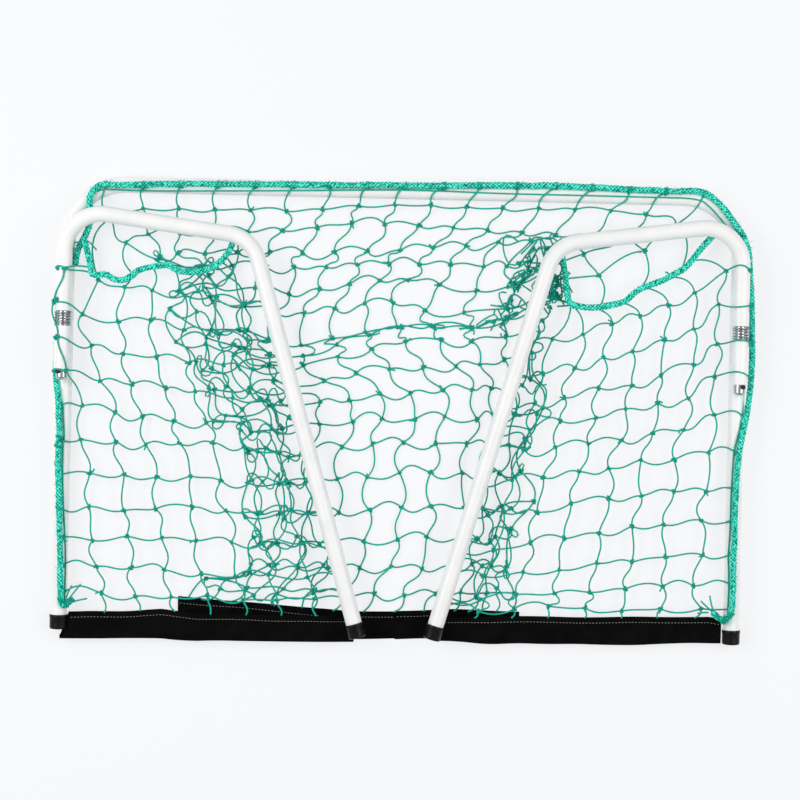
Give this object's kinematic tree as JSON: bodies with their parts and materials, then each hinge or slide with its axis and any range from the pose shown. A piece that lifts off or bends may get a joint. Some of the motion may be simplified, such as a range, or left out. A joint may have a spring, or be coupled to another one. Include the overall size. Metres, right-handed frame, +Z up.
{
  "type": "folding floorball goal",
  "caption": "Folding floorball goal, folded flat: bent tube frame, two hinged wings on sprung pivots, knotted net with rope edge and hem.",
  "frame": {"origin": "middle of the folded goal's underside, on the floor that it lies on", "axes": "+X across the mouth to the right post, +Y from the post feet towards the crossbar, +Z up from the floor, out of the back of the mouth"},
  "size_m": [0.9532, 0.6346, 0.0477],
  "materials": {
    "powder_coat": "gloss powder coat, white",
    "black_plastic": "moulded, satin",
    "chrome": "bright chrome on turned bar",
    "zinc": "bright zinc plate",
    "spring_steel": "drawn wire, bright",
    "dark_steel": "blackened steel",
    "rope": "braided polypropylene",
    "net_cord": "twisted polyethylene cord, knotted",
    "hem_fabric": "woven strip with white stitching"
  },
  "bodies": {
    "front_frame": {"front_frame_tube": "powder_coat", "left_post_cap": "black_plastic", "right_post_cap": "black_plastic", "left_hinge_sleeve": "powder_coat", "right_hinge_sleeve": "powder_coat", "border_rope": "rope", "head_cord": "net_cord", "back_net": "net_cord", "rear_hem": "hem_fabric"},
    "left_spring_seat": {"left_spring_washer": "zinc", "left_spring": "spring_steel"},
    "left_wing": {"left_wing_tube": "powder_coat", "left_spindle": "chrome", "left_cross_pin": "dark_steel", "left_leg_cap": "black_plastic", "left_seam_rope": "rope", "left_side_net": "net_cord", "left_side_hem": "hem_fabric"},
    "right_spring_seat": {"right_spring_washer": "zinc", "right_spring": "spring_steel"},
    "right_wing": {"right_wing_tube": "powder_coat", "right_spindle": "chrome", "right_cross_pin": "dark_steel", "right_leg_cap": "black_plastic", "right_seam_rope": "rope", "right_side_net": "net_cord", "right_side_hem": "hem_fabric"}
  },
  "joints": [
    {"name": "left_swing", "type": "hinge", "parent": "front_frame", "child": "left_spring_seat", "pos_m": [-0.461, 0.1072, 0.0351], "axis": [0, -1, 0], "range_deg": [0, 90]},
    {"name": "left_plunge", "type": "slide", "parent": "left_spring_seat", "child": "left_wing", "axis": [0, -1, 0], "range_m": [0, 0.005], "stiffness_N_per_m": 2500, "springref_m": -0.008, "deforming": ["left_spring"]},
    {"name": "right_swing", "type": "hinge", "parent": "front_frame", "child": "right_spring_seat", "pos_m": [0.461, 0.1072, 0.0351], "axis": [0, 1, 0], "range_deg": [0, 90]},
    {"name": "right_plunge", "type": "slide", "parent": "right_spring_seat", "child": "right_wing", "axis": [0, -1, 0], "range_m": [0, 0.005], "stiffness_N_per_m": 2500, "springref_m": -0.008, "deforming": ["right_spring"]}
  ]
}
